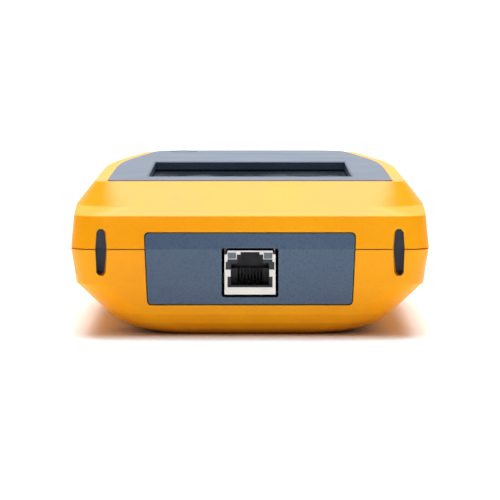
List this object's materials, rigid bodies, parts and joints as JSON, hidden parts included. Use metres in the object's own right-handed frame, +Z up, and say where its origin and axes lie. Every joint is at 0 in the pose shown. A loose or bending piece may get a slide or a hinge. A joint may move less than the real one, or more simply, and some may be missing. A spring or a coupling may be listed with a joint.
{
  "type": "handheld network cable tester",
  "caption": "Handheld cable and network tester: two-part moulded body, recessed touch display, shielded RJ45 socket in the end panel, lanyard slots, power key and USB-C charging socket.",
  "frame": {"origin": "on the table under the middle of the body, which lies on its back", "axes": "+Y from the RJ45 end towards the grip end, along the longest side; +Z up through the display, the shortest side; +X across"},
  "size_m": [0.112, 0.214, 0.0486],
  "materials": {
    "body_yellow": "satin moulded, fine spark texture",
    "trim_blue_grey": "satin moulded, fine spark texture",
    "cover_glass": "polished",
    "black_foam": "matt",
    "display_black": "gloss",
    "tin_plate": "satin",
    "steel_zinc": "satin",
    "black_plastic": "satin",
    "gold_contact": "bright",
    "light_guide": "gloss",
    "board_green": "semi-gloss",
    "brass_insert": "satin",
    "flex_amber": "gloss",
    "cell_sleeve": "gloss",
    "label_silver": "matt"
  },
  "bodies": {
    "body": {"battery_door": "body_yellow", "battery_pack": "cell_sleeve", "battery_terminals": "gold_contact", "beeper": "black_plastic", "board_chips": "black_plastic", "board_screws": "steel_zinc", "bottom_housing": "body_yellow", "bracket_screws": "steel_zinc", "case_inserts": "brass_insert", "case_screws": "steel_zinc", "charge_board": "board_green", "charge_board_screws": "steel_zinc", "charge_flex": "flex_amber", "display_bezel": "trim_blue_grey", "display_bracket": "steel_zinc", "display_flex": "flex_amber", "door_screws": "steel_zinc", "end_panel": "trim_blue_grey", "flex_connectors": "black_plastic", "glass_gasket": "black_foam", "key_board": "board_green", "key_board_screws": "steel_zinc", "key_flex": "flex_amber", "lcd_module": "display_black", "magnetics": "black_plastic", "main_board": "board_green", "power_switch": "black_plastic", "rating_label": "label_silver", "rj45_insert": "black_plastic", "rj45_lenses": "light_guide", "rj45_shield": "tin_plate", "shield_can": "tin_plate", "strap_liner_left": "trim_blue_grey", "strap_liner_right": "trim_blue_grey", "top_housing": "body_yellow", "touch_glass": "cover_glass", "usb_shell": "tin_plate", "usb_tongue": "black_plastic"},
    "power_key": {"power_button": "trim_blue_grey", "switch_plunger": "black_plastic"},
    "contact_row": {"rj45_contacts": "gold_contact"}
  },
  "joints": [
    {"name": "power_key_press", "type": "slide", "parent": "body", "child": "power_key", "axis": [0, 0, -1], "range_m": [0, 0.0006], "stiffness_N_per_m": 2500},
    {"name": "contact_flex", "type": "hinge", "parent": "body", "child": "contact_row", "pos_m": [0, -0.1014, 0.01565], "axis": [-1, 0, 0], "range_deg": [0, 10], "stiffness_Nm_per_rad": 0.02}
  ]
}
